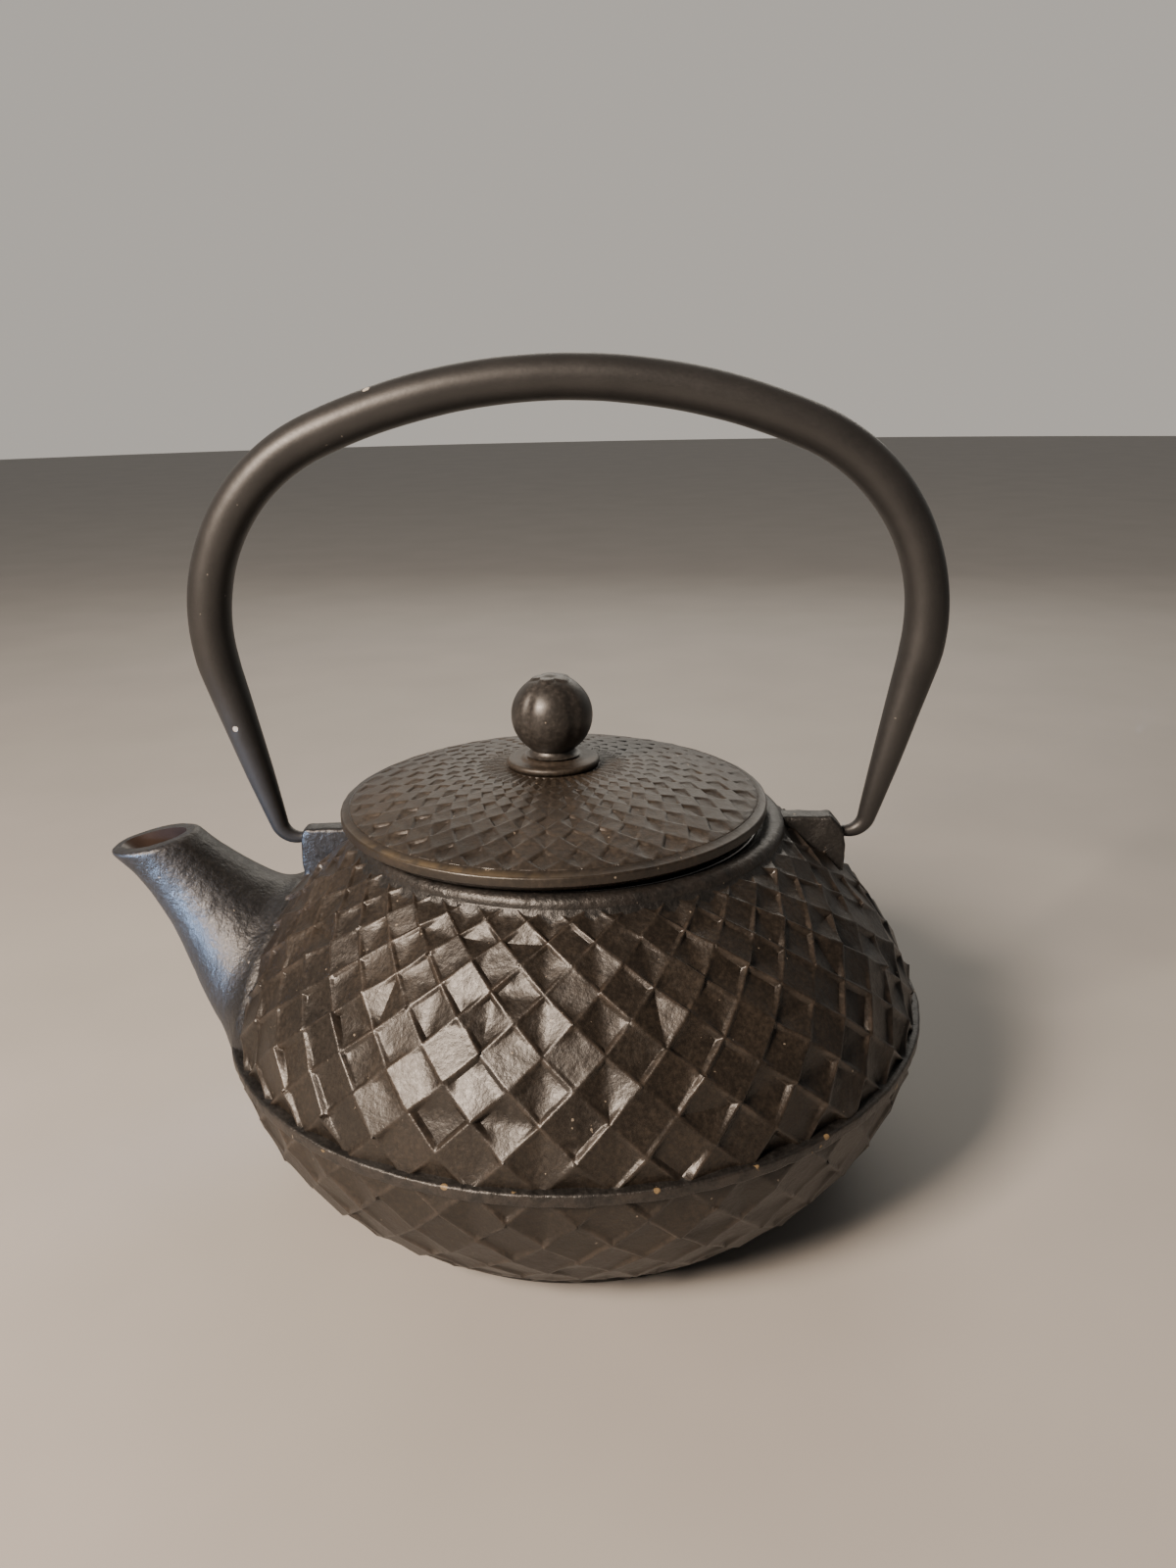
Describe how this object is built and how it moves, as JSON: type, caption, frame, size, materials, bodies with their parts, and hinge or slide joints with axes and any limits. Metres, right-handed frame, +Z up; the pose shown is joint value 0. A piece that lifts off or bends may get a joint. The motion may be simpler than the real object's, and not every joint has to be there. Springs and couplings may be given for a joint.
{
  "type": "cast iron teapot",
  "caption": "Round cast iron teapot with a diamond-relief body, short spout, knobbed lid, swinging bail handle and a steel infuser inside.",
  "frame": {"origin": "centre of the flat foot, on the surface that the teapot stands on", "axes": "+Z up along the body's axis; -X towards the spout; the handle's hinge line runs along X; +Y completes the right-handed frame"},
  "size_m": [0.174, 0.147, 0.1674],
  "materials": {
    "cast_iron": "dark brown-black enamel over textured casting, satin",
    "knob_iron": "smooth satin black",
    "handle_paint": "satin charcoal black",
    "fastener_steel": "dull zinc-grey steel",
    "stainless": "brushed stainless sheet",
    "stainless_mesh": "fine woven stainless wire"
  },
  "bodies": {
    "pot": {"body": "cast_iron"},
    "bail": {"handle": "handle_paint"},
    "cover": {"lid": "cast_iron", "knob": "knob_iron", "knob_seat": "knob_iron", "knob_washer": "fastener_steel", "knob_nut": "fastener_steel"},
    "strainer": {"infuser_collar": "stainless", "infuser_mesh_wall": "stainless_mesh", "infuser_bottom_ring": "stainless", "infuser_bottom_mesh": "stainless_mesh"}
  },
  "joints": [
    {"name": "handle_swing", "type": "hinge", "parent": "pot", "child": "bail", "pos_m": [0, 0, 0.0717], "axis": [1, 0, 0], "range_deg": [-120, 120]},
    {"name": "lid_lift", "type": "slide", "parent": "pot", "child": "cover", "axis": [0, 0, 1], "range_m": [0, 0.048]},
    {"name": "infuser_lift", "type": "slide", "parent": "pot", "child": "strainer", "axis": [0, 0, 1], "range_m": [0, 0.0432]}
  ],
  "couplings": [
    {"joint": "infuser_lift", "follows": "lid_lift", "ratio": 0.9}
  ]
}
